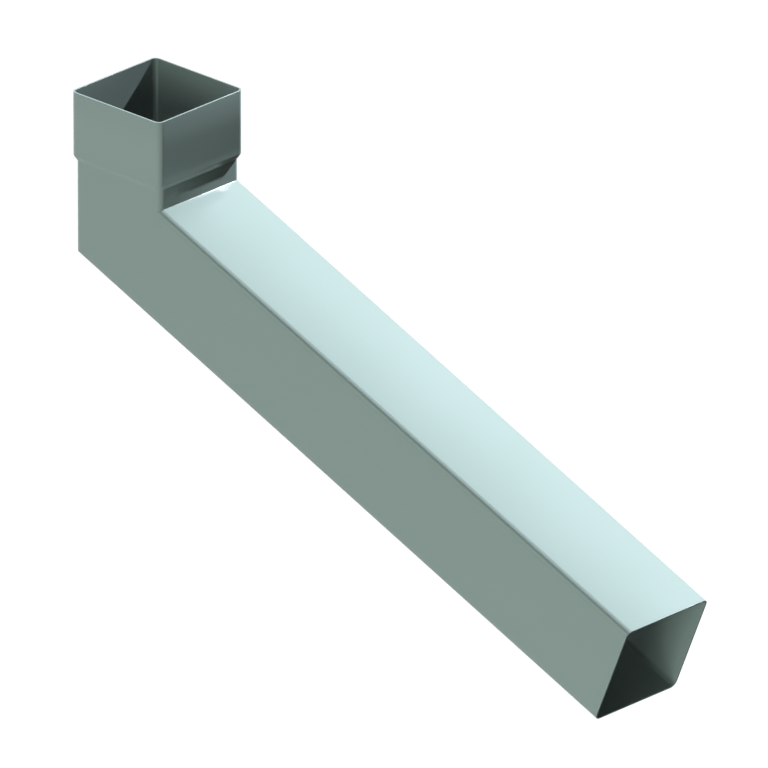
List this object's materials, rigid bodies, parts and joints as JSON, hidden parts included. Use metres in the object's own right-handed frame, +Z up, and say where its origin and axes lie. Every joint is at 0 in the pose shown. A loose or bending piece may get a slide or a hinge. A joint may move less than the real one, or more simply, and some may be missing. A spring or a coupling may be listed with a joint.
{
  "type": "downspout elbow",
  "caption": "Square sheet-metal downspout elbow: a swaged socket on top, a short neck, a mitred bend and a long straight leg that falls to a square-cut outlet.",
  "frame": {"origin": "centre of the socket mouth, in the plane of its rim", "axes": "+Z up out of the socket along the pipe above, +X the way the leg runs as it falls, +Y across, with the elbow symmetric about the XZ plane"},
  "size_m": [0.6514, 0.105, 0.4027],
  "materials": {
    "coated_sheet": "satin"
  },
  "bodies": {
    "root": {"elbow": "coated_sheet"}
  },
  "joints": []
}
